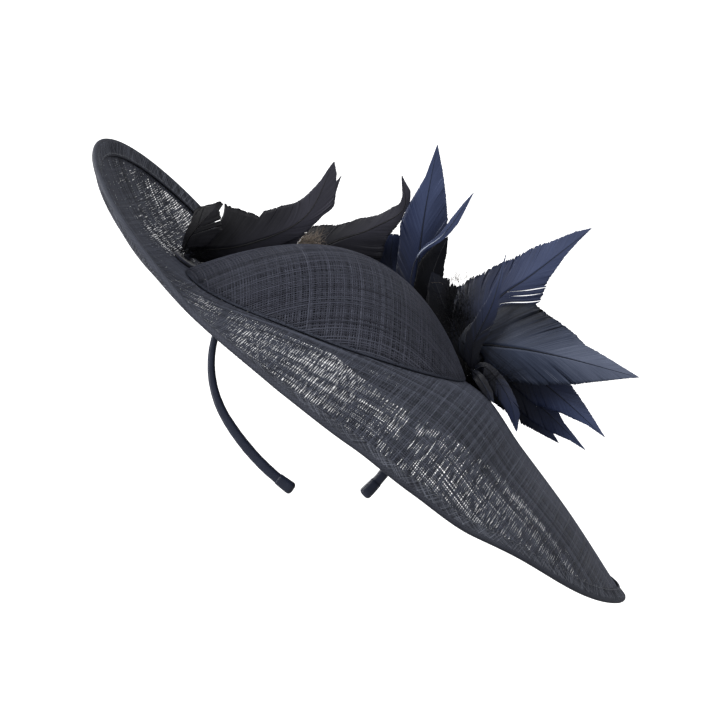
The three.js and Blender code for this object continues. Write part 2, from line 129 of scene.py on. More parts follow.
# Every feather: its dye; the turn of its face about the quill and the angle of its first barbs to it, in
# degrees; how frayed its edge is; its splits; the line of its quill from root to tip; and how far its vane
# reaches to the left and to the right at hundredths of its length, up to its point. Each split is (side,
# hundredths of the length, opening, hundredths of a barb where it starts), and True if closed at the edge.
FEATHER_FIELDS = ("dye", "turn", "spread", "fray", "splits", "line", "left", "right")
FEATHERS = {
    "left_long": ("brown", 12, 90, 0.015, [(-1, 7.5, 5.5, 40, True), (1, 55, 1.2, 30)],
        [(-87, 30, 8), (-47, 32, 13), (-9, 34, 31), (10, 36, 67.5)],
        [(0, 19), (8, 27), (21, 30), (34, 23.5), (42, 17), (44, 14.5), (47, 17), (60, 15), (75, 8.5),
         (88, 3)],
        [(0, 4), (30, 7), (57, 8), (70, 8), (78, 11), (84, 10), (95, 5)]),
    "left_back": ("brown", 8, 40, 0.03, [(1, 60, 1.5, 40)],
        [(-87, 37, 7), (-45, 40, 10), (-2, 42, 29), (15, 44, 59)],
        [(0, 5), (40, 7), (80, 6)],
        [(0, 5), (40, 8), (50, 10), (55, 9), (60, 4.5), (69, 1.2), (76, 1), (80, 3.5), (84, 4), (90, 1.5)]),
    "left_short": ("brown", -12, 62, 0.02, [(1, 30, 0.9, 40), (1, 45, 1.2, 40), (-1, 50, 0.8, 50)],
        [(-87.5, 24, 9), (-83.5, 22, 17), (-76, 20, 26), (-66, 18, 36.5)],
        [(0, 1), (30, 4), (60, 7), (85, 7), (100, 2)],
        [(0, 7), (40, 13), (80, 13), (100, 3)]),
    "rear_left_long": ("brown", 0, 42, 0.02, [(-1, 25, 1, 60)],
        [(-13, 90, -16), (1, 88, 12), (35, 84, 26), (56, 82, 39.5), (54.5, 80, 61.5)],
        [(0, 6), (20, 14), (30, 16), (42, 9), (54, 10), (65, 6.5), (76, 6.5), (88, 2)],
        [(0, 5), (25, 16), (42, 27), (50, 28), (56, 22), (60, 14.5), (66, 9), (71, 6.5), (79, 2), (90, 4)]),
    "rear_left_short": ("brown", 0, 40, 0.04, [(-1, 40, 1.2, 40)],
        [(-15.5, 96, -16), (-11, 96, 4), (1.5, 94, 20), (20, 92, 31)],
        [(0, 4), (50, 7)],
        [(0, 4), (50, 8)]),
    "rear_right_tall": ("navy", 10, 50, 0.012, [(1, 30, 0.8, 70)],
        [(61.5, 82, -45), (64, 80, -12), (69, 76, 31), (78, 70, 81)],
        [(0, 8), (15, 14), (30, 14), (50, 14), (56, 15), (66, 11.5), (82, 4)],
        [(0, 6), (30, 13), (50, 17), (62, 17), (76, 12), (87, 7)]),
    "rear_right_blade": ("navy", 0, 34, 0.02, [],
        [(64, 66, -42), (60, 65, -12), (65.6, 64, 8), (81.4, 62, 20.7), (102, 62, 49)],
        [(0, 0.3), (45, 0.5), (56, 1.6), (78, 2.6), (90, 1.6)],
        [(0, 0.3), (45, 0.6), (60, 2.2), (78, 3.2), (90, 1.6)]),
    # Painted shade: the feathers with the black dye lie in shadow low in the cluster, and their near-black
    # stands in for that shadow.
    "rear_right_dark": ("black", 0, 34, 0.03, [],
        [(66.5, 73, -46), (71.5, 71, -18.5), (77, 70, 2), (85, 70, 20)],
        [(0, 4), (30, 10), (70, 11), (90, 5)],
        [(0, 4), (40, 9), (65, 7), (85, 4)]),
    "rear_right_round": ("navy", 0, 50, 0.015, [],
        [(57.5, 95, -45), (52, 97, -15), (47.5, 98, 4), (49, 98, 23)],
        [(0, 6), (30, 12), (60, 11), (80, 8), (95, 5), (100, 2)],
        [(0, 5), (40, 15), (80, 15), (95, 8), (100, 3)]),
    "rear_right_low": ("black", 0, 38, 0.05, [(-1, 30, 1.5, 50), (1, 50, 2, 50)],
        [(65, 90, -48), (72, 88, -34), (86, 86, -22), (103, 84, -16)],
        [(0, 4), (30, 9), (70, 10), (90, 5)],
        [(0, 4), (30, 9), (70, 9), (90, 4)]),
    "right_high": ("navy", 5, 48, 0.03,
        [(1, 34, 0.7, 30, True), (1, 40, 1, 30, True), (1, 45, 0.6, 40, True)],
        [(99, 26, -70), (100.5, 28, -49), (115.5, 32, -23), (137, 38, -7.5), (178.5, 48, 24.5)],
        [(0, 6), (20, 18), (34, 25), (44, 19), (57, 16.5), (72, 13.5), (80, 9.5), (92, 5)],
        [(0, 6), (15, 13), (30, 17), (58, 18), (66, 10), (80, 4), (90, 1.5)]),
    "right_spike": ("navy", 0, 34, 0.06, [(-1, 40, 1.5, 40), (1, 30, 1.2, 40)],
        [(98, 15, -69.5), (99.5, 10, -52), (111, 5, -26.5), (120.5, 8, 7)],
        [(0, 3), (30, 7), (50, 6), (65, 3.5), (80, 1.2)],
        [(0, 3), (35, 7), (55, 5), (70, 2.5), (85, 1)]),
    "right_large": ("slate", 0, 46, 0.008, [],
        [(99, 20, -70), (101, 17, -53.5), (121, 13, -53.5), (150, 8, -58.5), (205, 0, -73)],
        [(0, 6), (12, 16), (25, 27), (40, 30), (47, 25), (53, 22), (63, 16), (69, 11), (76, 9)],
        [(0, 4), (15, 12), (30, 22), (50, 21), (69, 15), (82, 8.5), (95, 2)]),
    "right_low": ("navy", 0, 34, 0.015, [(1, 42, 1.5, 60)],
        [(100.5, 24, -71), (105.5, 24, -62), (125, 24, -63), (152.5, 26, -82.5), (185.5, 30, -112)],
        [(0, 4), (30, 14), (55, 13), (77, 7), (88, 3.8)],
        [(0, 4), (30, 14), (55, 15), (70, 8), (87, 2)]),
    "right_lower": ("navy", 0, 34, 0.02, [(-1, 40, 1.5, 60), (1, 50, 1.5, 50)],
        [(101.5, 31, -72), (110, 33, -67), (125.5, 36, -76.5), (148.5, 40, -96), (174.5, 46, -121)],
        [(0, 4), (30, 10), (60, 8), (75, 3)],
        [(0, 4), (30, 12), (60, 11), (73, 8), (87, 2.8)]),
    "right_under": ("navy", 0, 60, 0.03, [(1, 40, 1.5, 50)],
        [(102, 38, -73.5), (111.5, 42, -71.5), (124.5, 46, -82.5), (140, 50, -98), (157.5, 56, -116.5)],
        [(0, 4), (40, 8), (70, 5)],
        [(0, 6), (15, 12), (30, 13), (62, 10), (80, 5.5)]),
    "right_base": ("black", 0, 50, 0.05, [(1, 40, 1.5, 60), (1, 60, 2, 50)],
        [(96, 44, -74), (95, 50, -58), (85, 56, -34), (74, 60, -4)],
        [(0, 4), (30, 11), (70, 12), (90, 6)],
        [(0, 6), (15, 15), (30, 19), (70, 18), (90, 9)]),
    "right_curl": ("navy", 0, 46, 0.04, [(-1, 60, 1.5, 30), (1, 35, 1.5, 50)],
        [(99, 11, -69.5), (106, 7, -66), (116.5, 4, -77), (123.5, 3, -91), (127, 5, -108)],
        [(0, 2), (40, 4), (80, 4)],
        [(0, 4), (20, 7), (45, 8), (65, 5.5), (85, 3)]),
    "right_sliver": ("navy", 0, 30, 0.03, [],
        [(98, 8, -68), (102, 1, -72.5), (107, -2, -80), (112, -3, -89)],
        [(0, 2), (40, 3.5), (80, 2.5)],
        [(0, 2.5), (30, 3.5), (70, 3.5), (90, 2)]),
}
# The feather whose quill carries a painted highlight: a pale streak part way up it.
HIGHLIT_QUILL_FEATHER = "rear_right_blade"
FEATHER_SEED = 100
MOUNT_SEED = 200
BASE_TUFT_SEED = 40
BARB_SPACING = 0.5
BARB_POINTS = 10
BARB_ANGLE = 34
BARB_RIDGE = 0.035
SPLIT_EASE = 5
VANE_THICKNESS = 0.12
VANE_CAMBER = 0.10
VANE_HOLLOW = 0.006
VANE_RIPPLE = 0.015
QUILL_RADIUS = 0.62
QUILL_SIDES = 8

# Down: place of the tuft, its spread, which way it leans, how many barbs, their length, material, slot, seed
DOWN_POINTS = 7
TUFTS = {
    "rear": ((-11, 78, 16), (5, 1, 1.5), (0.7, 0, 0.7), 300, 8, "down", "brown_feather", 31),
    "right": ((93, 60, -9), (5, 2, 1.5), (0.3, 0, 1), 36, 8, "down", "navy_feather", 32),
    # fan and curl: near-black down, painted shade filling the shadowed gaps about the feather roots.
    "fan": ((88, 21, -34), (5, 3, 8), (-0.2, 0, 1), 420, 12, "black_feather", "brown_feather", 34),
    "curl": ((99, 12, -75), (3.2, 4, 3.2), (0, 0, -0.2), 1500, 8, "black_feather", "brown_feather", 33),
}

# Studio: lights as (place, size, power), all aimed at the middle of the hat
LIGHTS = {
    "key": ((-1.2, -1.2, 1.3), 1.2, 36),
    "fill": ((1.3, -1.3, 0.9), 1.2, 14),
    "rear": ((-1.5, 1.6, 0.9), 1, 18),
    "low_fill": ((-1.7, -0.8, -0.3), 1, 9),
}
LIT_CENTRE = (0.03, 0, -0.06)
WORLD_STRENGTH = 0.36
FLOOR_Z = -2600
FLOOR_RADIUS = 5000
WALL_RADIUS = 7000
WALL_TOP = 7000
WALL_SIDES = 96
SWEEP_STEPS = 17
WALL_GLOW = 1.15
CAMERA_PLACE = (0.02675, -1.8, -0.0618)
CAMERA_LENS = 141.3


# Surfaces

def smooth_value(stations, at):
    """A smooth curve through (station, value) pairs, with each slope taken across its two neighbours."""
    x, y = np.array(stations, float).T
    each = np.arange(len(x))
    before, after = np.maximum(each - 1, 0), np.minimum(each + 1, len(x) - 1)
    slope = (y[after] - y[before]) / (x[after] - x[before])
    at = np.asarray(at, float)
    i = np.clip(np.searchsorted(x, at, side="left") - 1, 0, len(x) - 2)
    span = x[i + 1] - x[i]
    t = np.clip((at - x[i]) / span, 0, 1)
    rise = t * t * (3 - 2 * t)
    leave = t * (1 - t) ** 2 * slope[i]
    arrive = t * t * (t - 1) * slope[i + 1]
    return y[i] + (y[i + 1] - y[i]) * rise + span * (leave + arrive)


def brim_height(s, d):
    u = s / HALF_LENGTH
    v = d / HALF_DEPTH
    curl = RIM_CURL * smooth_value(CURL_SHARE, u) * (u * u + v * v) ** 3
    return smooth_value(MIDDLE, u) - smooth_value(DROOP, u) * v * v + curl + smooth_value(TWIST, u) * v


def brim_surface(s, d):
    return np.stack([s, d, brim_height(s, d)], -1)


def crown_surface(s, d):
    """The crown's middle surface over a point of its base, given in the brim's s and d."""
    x = (s - CROWN_CENTRE_S) / CROWN_HALF_LENGTH
    y = d / CROWN_HALF_DEPTH
    size = np.maximum(np.hypot(x, y), 1e-9)
    edge = brim_height(CROWN_CENTRE_S + CROWN_HALF_LENGTH * x / size, CROWN_HALF_DEPTH * y / size)
    middle = brim_height(CROWN_CENTRE_S, 0)
    slope = CROWN_HALF_LENGTH * np.tan(CROWN_TILT)
    base = middle + slope * x + (edge - middle - slope * x / size) * size**2
    dome = CROWN_HEIGHT * (1 - size**2) * (1 + CROWN_SKEW * x)
    return np.stack([s - dome * np.sin(CROWN_TILT), d, base + CROWN_SEAT + dome * np.cos(CROWN_TILT)], -1)


def unit(vectors):
    return vectors / np.linalg.norm(vectors, axis=-1, keepdims=True)


def with_normals(surface, s, d):
    """The points of a surface and its normals, in the row frame."""
    step = 0.05
    point = surface(s, d)
    normal = unit(np.cross(surface(s + step, d) - point, surface(s, d + step) - point))
    return to_world(point) + BRIM_CENTRE, to_world(normal)


def to_world(v):
    """Turns directions of the brim's frame into the row frame."""
    y = v[..., 1] * np.cos(BRIM_PITCH) - v[..., 2] * np.sin(BRIM_PITCH)
    z = v[..., 1] * np.sin(BRIM_PITCH) + v[..., 2] * np.cos(BRIM_PITCH)
    x = v[..., 0]
    across = x * np.cos(BRIM_ROLL) + z * np.sin(BRIM_ROLL)
    up = z * np.cos(BRIM_ROLL) - x * np.sin(BRIM_ROLL)
    return np.stack([across, y, up], -1)


def lifted(surface, s, d, lift):
    point, normal = with_normals(surface, s, d)
    return point + normal * np.asarray(lift)[..., None]


# Meshes

def add_object(name, data):
    made = bpy.data.objects.new(name, data)
    bpy.context.collection.objects.link(made)
    return made


def make_piece(name, points, quads, material, slot, body=ROOT, stands_for=(), uv=None, tint=None):
    """A mesh object from points in millimetres and four-sided faces, riding on a body."""
    mesh = bpy.data.meshes.new(name)
    quads = np.asarray(quads, np.int32)
    mesh.vertices.add(np.size(points) // 3)
    mesh.vertices.foreach_set("co", (np.asarray(points) * MM).astype(np.float32).ravel())
    mesh.loops.add(quads.size)
    mesh.loops.foreach_set("vertex_index", quads.ravel())
    mesh.polygons.add(len(quads))
    mesh.polygons.foreach_set("loop_start", np.arange(0, quads.size, 4, dtype=np.int32))
    mesh.update(calc_edges=True)
    mesh.shade_smooth()
    if uv is not None:
        layer = mesh.uv_layers.new(name="UVMap")
        layer.uv.foreach_set("vector", np.asarray(uv, np.float32)[quads.ravel()].ravel())
    if tint is not None:
        attribute = mesh.attributes.new("tint", "FLOAT", "POINT")
        attribute.data.foreach_set("value", np.asarray(tint, np.float32))
    mesh.materials.append(material)
    piece = add_object(name, mesh)
    if body:
        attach(piece, body)
    if stands_for:
        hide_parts(*stands_for)
    return piece


def grid_quads(rows, columns, close_rows=False, close_columns=False, start=0):
    """Faces of a grid of points stored row by row."""
    i = np.arange(rows if close_rows else rows - 1)[:, None]
    j = np.arange(columns if close_columns else columns - 1)[None, :]
    i2 = (i + 1) % rows
    j2 = (j + 1) % columns
    corners = [i * columns + j, i * columns + j2, i2 * columns + j2, i2 * columns + j]
    shape = (i.shape[0], j.shape[1])
    return np.stack([np.broadcast_to(corner, shape) for corner in corners], -1).reshape(-1, 4) + start


class Strands:
    """Gathers many thin closed strands, each with a flat four-cornered section, into one mesh."""

    def __init__(self):
        self.points, self.quads, self.tints, self.count = [], [], [], 0

    def add(self, centres, normals, width, thickness, tint):
        along = np.gradient(centres, axis=0)
        side = unit(np.cross(normals, along)) * np.reshape(width, (-1, 1)) / 2
        up = unit(normals) * np.reshape(thickness, (-1, 1)) / 2
        rings = np.stack([centres + side, centres + up, centres - side, centres - up], 1)
        n = len(centres)
        last = 4 * (n - 1)
        ends = np.array([[3, 2, 1, 0], [last, last + 1, last + 2, last + 3]])
        self.quads.append(np.concatenate([grid_quads(n, 4, close_columns=True), ends]) + self.count)
        self.points.append(rings.reshape(-1, 3))
        self.tints.append(np.full(4 * n, tint))
        self.count += 4 * n

    def lay(self, surface, s, d, lift, width, tint, thickness=THREAD_THICKNESS):
        """A strand along a line on a surface, lifted off it."""
        centres, normals = with_normals(surface, s, d)
        self.add(centres + np.reshape(lift, (-1, 1)) * normals, normals, width, thickness, tint)

    def make(self, name, material, slot, **extra):
        points, quads, tint = (np.concatenate(parts) for parts in (self.points, self.quads, self.tints))
        make_piece(name, points, quads, material, slot, tint=tint, **extra)


# Weave

def line_in_ellipse(offset, angle, centre, half_s, half_d):
    """Where a line at an angle, an offset from the origin, enters and leaves an ellipse, or None."""
    cos, sin = np.cos(angle), np.sin(angle)
    s0, d0 = -offset * sin - centre, offset * cos
    a = (cos / half_s) ** 2 + (sin / half_d) ** 2
    b = s0 * cos / half_s**2 + d0 * sin / half_d**2
    c = (s0 / half_s) ** 2 + (d0 / half_d) ** 2 - 1
    if b * b <= a * c:
        return None
    root = np.sqrt(b * b - a * c)
    return (-b - root) / a, (-b + root) / a


def uneven_offsets(rng, reach, pitch):
    """Places of threads across a cloth, now close together and now apart."""
    steps = pitch * np.exp(PITCH_VARIETY * rng.standard_normal(int(2.4 * reach / pitch)))
    at = np.cumsum(steps) - reach
    return at[at < reach]


def closing(s, d):
    """How much broader the straw lies than usual: in soft patches, and towards the high tip's front."""
    patches = np.sin(s / 31 + d / 57 + 1.3) * np.sin(d / 26 - s / 71 + 0.4) + 0.6 * np.sin(s / 12 - d / 17)
    tip = np.clip((-s - 148 - 0.35 * d) / 28, 0, 1)
    low = np.clip((s - 150) / 40, 0, 1)
    beyond = np.clip((d + 100) / 40, 0, 1) * np.clip((s - 20) / 60, 0, 1)
    from_crown = np.hypot((s - CROWN_CENTRE_S) / CROWN_HALF_LENGTH, d / CROWN_HALF_DEPTH)
    about_crown = np.clip((1.22 - from_crown) / 0.12, 0, 1)
    return 1 + 0.12 * patches + 0.45 * tip + 0.25 * low + 0.6 * beyond + 0.7 * about_crown


def weave_threads(strands, where, angle, lift, pitch, usual, rng):
    """One set of parallel threads over a surface, inside one ellipse and outside another."""
    surface, outer, hole = where
    for offset in uneven_offsets(rng, HALF_LENGTH, pitch):
        width = usual * np.exp(WIDTH_VARIETY * rng.standard_normal())
        tint = rng.random()
        height = lift + LIFT_VARIETY * rng.standard_normal()
        waves = rng.uniform([14, 0, 30, 0], [26, 6.3, 70, 6.3])
        span = line_in_ellipse(offset, angle, *outer)
        if span is None:
            continue
        gap = line_in_ellipse(offset, angle, *hole) if hole else None
        runs = [span] if gap is None else [(span[0], gap[0]), (gap[1], span[1])]
        for start, end in runs:
            if end - start < THREAD_STEP:
                continue
            along = np.linspace(start, end, int((end - start) / THREAD_STEP) + 2)
            wave = np.sin(along / waves[0] + waves[1]) + np.sin(along / waves[2] + waves[3])
            across = offset + WAVER * pitch * wave
            s = along * np.cos(angle) - across * np.sin(angle)
            d = along * np.sin(angle) + across * np.cos(angle)
            swell = 1 + 0.15 * np.sin(along / waves[0] * 1.7 + waves[3])
            strands.lay(surface, s, d, height, width * swell * closing(s, d), tint)


def make_ply(name, where, grains, lift, weave, material, slot, seed):
    """A ply of cloth: two sets of flat threads across each other."""
    rng = np.random.default_rng(seed)
    for word, grain, rise in (("warp", grains[0], CROSSING_LIFT), ("weft", grains[1], -CROSSING_LIFT)):
        strands = Strands()
        weave_threads(strands, where, np.radians(grain), lift + rise, *weave[word], rng)
        strands.make(f"{name}_{word}", material, slot, stands_for=[f"{name}_ply"])


def crown_base(share):
    return CROWN_CENTRE_S, CROWN_HALF_LENGTH * share, CROWN_HALF_DEPTH * share


def make_brim(material):
    rim = (0, HALF_LENGTH - THREAD_END, HALF_DEPTH - THREAD_END)
    where = (brim_surface, rim, crown_base(CROWN_OPENING))
    make_ply("brim_top", where, (-0.5, 88), PLY_LIFT, BRIM_WEAVE, material, "navy_sinamay", 11)
    make_ply("brim_under", where, (0.7, 91.8), -PLY_LIFT, BRIM_WEAVE, material, "navy_sinamay", 11)


def make_crown(top, under):
    where = (crown_surface, crown_base(CROWN_EDGE), None)
    make_ply("crown_top", where, (22, 112), PLY_LIFT, CROWN_WEAVE, top, "crown_sinamay", 13)
    make_ply("crown_under", where, (50, 140), -PLY_LIFT, LINING_WEAVE, under, "crown_sinamay", 14)


# Bands round the brim and crown

# Sections of bands, as (distance in from the edge, lift) points. The bias strip is folded over the rim,
# fuller over the wire, with a raised turned-in edge.
HEM_TOP = [(9.4, 1.3), (9.4, 1.75), (9, 2.05), (8.5, 2), (8.1, 1.65), (6.5, 1.5), (4.5, 1.6), (3, 1.8)]
HEM_FOLD = [(1.75 - 1.75 * np.sin(a), 1.8 * np.cos(a)) for a in np.linspace(0, np.pi, 9)]
HEM_UNDER = [(inset, -lift) for inset, lift in reversed(HEM_TOP)]
HEM_INSIDE = [(7, -0.95), (2.6, -0.95), (1.2, -0.5), (1.2, 0.5), (2.6, 0.95), (7, 0.95)]
CROWN_FOLD = [(0.2, 0.35), (-0.3, 0), (-0.4, -0.8), (0.1, -1.4), (0.9, -1), (1.1, -0.2), (0.8, 0.3)]
RIBBON = [(6.3, -1.5), (7.4, -1.3), (18.4, -1.3), (19.6, -1.5), (19.6, -2), (18.4, -2.2), (7.4, -2.2),
          (6.3, -2)]
BANDS = {
    "rim_hem": (brim_surface, RIM, HEM_TOP + HEM_FOLD + HEM_UNDER + HEM_INSIDE, 480),
    "crown_edge": (crown_surface, CREASE, CROWN_FOLD, 320),
    "inner_ribbon": (crown_surface, CREASE, RIBBON, 240),
}


def make_band(name, material, slot, stands_for=()):
    """A closed band: a section swept round a surface."""
    surface, ellipse, section, count = BANDS[name]
    angle = np.linspace(0, 2 * np.pi, count + 1)
    inset, lift = np.array([*section, section[0]]).T
    s, d = inside(ellipse, angle[:, None], inset)
    points = lifted(surface, s, d, np.broadcast_to(lift, s.shape))
    lengths = np.linalg.norm(np.diff(points[:, 0], axis=0), axis=-1)
    u = np.concatenate([[0], np.cumsum(lengths)])
    v = np.concatenate([[0], np.cumsum(np.hypot(np.diff(inset), np.diff(lift)))])
    uv = np.stack(np.meshgrid(u, v, indexing="ij"), -1)
    tube_piece(name, points, uv, material, slot, ROOT, stands_for, ring=True)


def tube_piece(name, points, uv, material, slot, body, stands_for, ring=False):
    """A tube from a grid whose last column, and in a ring its last row too, repeats the first."""
    spans, columns = points.shape[0] - 1, points.shape[1] - 1
    rows = spans if ring else spans + 1
    quads = grid_quads(rows, columns, close_rows=ring, close_columns=True)
    piece = make_piece(name, points[:rows, :-1], quads, material, slot, body, stands_for)
    i = np.repeat(np.arange(spans), columns)
    j = np.tile(np.arange(columns), spans)
    corners = [uv[i, j], uv[i, j + 1], uv[i + 1, j + 1], uv[i + 1, j]]
    layer = piece.data.uv_layers.new(name="UVMap")
    layer.uv.foreach_set("vector", np.stack(corners, 1).astype(np.float32).ravel())
    return piece


def inside(ellipse, angle, inset):
    """Points round an ellipse of the brim's plane, some way inside it."""
    centre, half_s, half_d = ellipse
    return centre + (half_s - inset) * np.cos(angle), (half_d - inset) * np.sin(angle)


def make_hem_threads(material):
    """The threads that stand out on both faces of the bias strip, slanting across it both ways."""
    rng = np.random.default_rng(22)
    inset = np.linspace(1.6, 8.9, 8)
    strip = np.interp(inset, [1.6, 3, 4.5, 6.5, 8.1, 8.5, 8.9], [1.85, 1.85, 1.65, 1.55, 1.7, 2.05, 2.1])
    for word, face in (("top", 1), ("under", -1)):
        strands = Strands()
        for slant in (-1, 1):
            for start in np.arange(0, 2 * np.pi, HEM_PITCH / HALF_LENGTH):
                shift = 0.3 * HEM_PITCH * rng.standard_normal()
                angle = start + shift / HALF_LENGTH + slant * inset / HALF_LENGTH
                s, d = inside(RIM, angle, inset)
                strands.lay(brim_surface, s, d, face * strip, HEM_THREAD, rng.random())
        strands.make(f"hem_threads_{word}", material, "bias_sinamay")


def make_rim_stitches(material):
    """The line of hand stitches that holds the bias strip, one long stitch every few millimetres."""
    strands = Strands()
    rng = np.random.default_rng(21)
    for angle in np.arange(0, 2 * np.pi, STITCH_PITCH / HALF_LENGTH):
        arc = angle + np.linspace(0, STITCH_LENGTH / HALF_LENGTH, 4)
        s, d = inside(RIM, arc, STITCH_INSET + 0.12 * rng.standard_normal())
        for side in (1, -1):
            strands.lay(brim_surface, s, d, side * STITCH_BOW, STITCH_WIDTH, rng.random(), 0.3)
    strands.make("rim_stitches", material, "thread")


# Headband

def band_place(distance):
    """Position and outward direction on the band's middle line, a distance from its top."""
    leg = RIGHT_LEG if distance >= 0 else LEFT_LEG
    along = abs(distance)
    angle = min(along, leg["curve"]) / BAND_RADIUS
    bend = max(along - leg["curve"], 0) / leg["radius"]
    chord = 2 * leg["radius"] * np.sin(bend / 2)
    heading = angle + bend / 2
    side = leg["side"]
    centre_z = -(BAND_RADIUS - BAND_THICKNESS / 2) * np.cos(BAND_STEP / 2 / BAND_RADIUS)
    x = side * (BAND_RADIUS * np.sin(angle) + chord * np.cos(heading))
    z = centre_z + BAND_RADIUS * np.cos(angle) - chord * np.sin(heading)
    facing = angle + bend
    return np.array([x, 0, z]), np.array([side * np.sin(facing), 0, np.cos(facing)])


def band_padding(distance):
    """How much thicker the cover is on its inner side, a distance from the band's top."""
    t = np.clip((np.abs(distance) - PADDING_START) / (PADDING_END - PADDING_START), 0, 1)
    return PADDING_DEPTH * t * t * (3 - 2 * t)


def round_section(width, thickness, count=28, power=3.4):
    """A rounded oblong as (across, outward) pairs."""
    a = np.linspace(0, 2 * np.pi, count + 1)
    c, s = np.cos(a), np.sin(a)
    across = np.sign(c) * np.abs(c) ** (2 / power) * width / 2
    outward = np.sign(s) * np.abs(s) ** (2 / power) * thickness / 2
    return across, outward


def band_sweep(name, stations, sizes, material, body, stands_for):
    """A rounded bar along the band, closed at both ends by rings that shrink to its middle."""
    rings, uvs = [], []
    for at, (width, thickness) in zip(stations, sizes):
        middle, outward = band_place(at)
        middle = middle - outward * band_padding(at) / 2
        across, out = round_section(width, thickness)
        rings.append(middle + out[:, None] * outward + across[:, None] * np.array([0, 1, 0]))
        around = np.concatenate([[0], np.cumsum(np.hypot(np.diff(across), np.diff(out)))])
        uvs.append(np.stack([np.full(len(around), at), around], -1))
    return tube_piece(name, np.array(rings), np.array(uvs), material, "navy_satin", body, stands_for)


def make_cover(leg, word, material):
    """Half of the satin cover: one piece from the top of the arch down a leg."""
    side = leg["side"]
    start = 0.4 * side
    end = side * (leg["end"] - 2)
    count = int(leg["end"] / 1.6)
    stations = np.concatenate([[start, start], np.linspace(start, end, count), [end, end]])
    swell = 1 + 0.012 * np.sin(stations * 0.9) + 0.008 * np.sin(stations * 0.37)
    depth = BAND_THICKNESS + band_padding(stations)
    sizes = [(BAND_WIDTH * k, t * k) for k, t in zip(swell, depth)]
    shrink = [(0.02, 0.02), (BAND_WIDTH * 0.7, BAND_THICKNESS * 0.6)]
    sizes[:2], sizes[-2:] = shrink, shrink[::-1]
    nodes = [f"headband_sleeve_{word}", "headband_sleeve_arch"]
    piece = band_sweep(f"headband_cover_{word}", stations, sizes, material, None, nodes)
    above, _ = band_place(side * (leg["hinge"] - HINGE_REACH))
    below, _ = band_place(side * (leg["hinge"] + HINGE_REACH))
    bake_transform(piece)


def make_cap(leg, word, material):
    """The folded ribbon over the end of a leg."""
    side = leg["side"]
    past = np.array([-TIP_DEPTH, -TIP_DEPTH, -8.2, -6.5, -4, -1.5, 0.6, 1.9, 2.7, TIP_END, TIP_END])
    share = np.array([0.60, 0.88, 0.90, 0.92, 0.95, 0.98, 1, 0.93, 0.74, 0.42, 0.02])
    stations = side * (leg["end"] + past)
    sizes = [(TIP_WIDTH * k, (TIP_THICKNESS + band_padding(at)) * k) for k, at in zip(share, stations)]
    nodes = [f"headband_tip_{word}"]
    band_sweep(f"headband_cap_{word}", stations, sizes, material, f"{word}_leg", nodes)


# Feathers

def quill_curve(line, count=240):
    """A centripetal Catmull-Rom curve through a feather's points, at even distances along it."""
    p = np.array(line, float)
    p = np.concatenate([[2 * p[0] - p[1]], p, [2 * p[-1] - p[-2]]])
    knots = np.concatenate([[0], np.cumsum(np.linalg.norm(np.diff(p, axis=0), axis=1) ** 0.5)])
    out = []
    for i in range(1, len(p) - 2):
        t = np.linspace(knots[i], knots[i + 1], 60, endpoint=False)[:, None]
        mix = lambda a, b, ta, tb: ((tb - t) * a + (t - ta) * b) / (tb - ta)
        k = knots[i - 1:i + 3]
        a1, a2, a3 = (mix(p[i - 1 + j], p[i + j], k[j], k[j + 1]) for j in range(3))
        b1, b2 = mix(a1, a2, k[0], k[2]), mix(a2, a3, k[1], k[3])
        out.append(mix(b1, b2, k[1], k[2]))
    out = np.concatenate([*out, p[-2:-1]])
    run = np.concatenate([[0], np.cumsum(np.linalg.norm(np.diff(out, axis=0), axis=1))])
    at = np.linspace(0, run[-1], count)
    return at, np.stack([np.interp(at, run, out[:, k]) for k in range(3)], -1)


def feather_axes(points, turn):
    """The side and face directions along a quill whose face looks to the front, turned by some degrees."""
    tangent = unit(np.gradient(points, axis=0))
    front = np.array([0, -1, 0])
    face = unit(front - (tangent @ front)[:, None] * tangent)
    a = np.radians(turn)
    face = face * np.cos(a) + np.cross(tangent, face) * np.sin(a)
    return np.cross(tangent, face), face


def barb_angles(share, spread, rng):
    """The angle of each barb to the quill: wide at the root of the feather and narrow at its tip."""
    angle = BARB_ANGLE - 16 * share + (spread - BARB_ANGLE) * np.exp(-share / 0.08)
    return np.radians(angle + 0.25 * rng.standard_normal(len(share)))


def part_barbs(share, side, splits):
    """How far the barbs beside each split lean away from it, and which barbs have a split after them."""
    along = np.linspace(0, 1, BARB_POINTS)
    lean = np.zeros((len(share), BARB_POINTS))
    cut = np.zeros(len(share), bool)
    for split_side, at, opening, start, *closes in splits:
        if split_side != side:
            continue
        i = int(np.argmin(np.abs(share - at / 100)))
        away = (np.arange(len(share)) - i - 0.5)[:, None]
        out = np.clip((along - start / 100) / (1 - start / 100), 0, 1)
        gap = opening / 2 * (np.sin(np.pi * out) if closes else out)
        lean += np.sign(away) * gap * np.exp(-np.abs(away) * BARB_SPACING / SPLIT_EASE)
        cut[i] = True
    return lean, cut


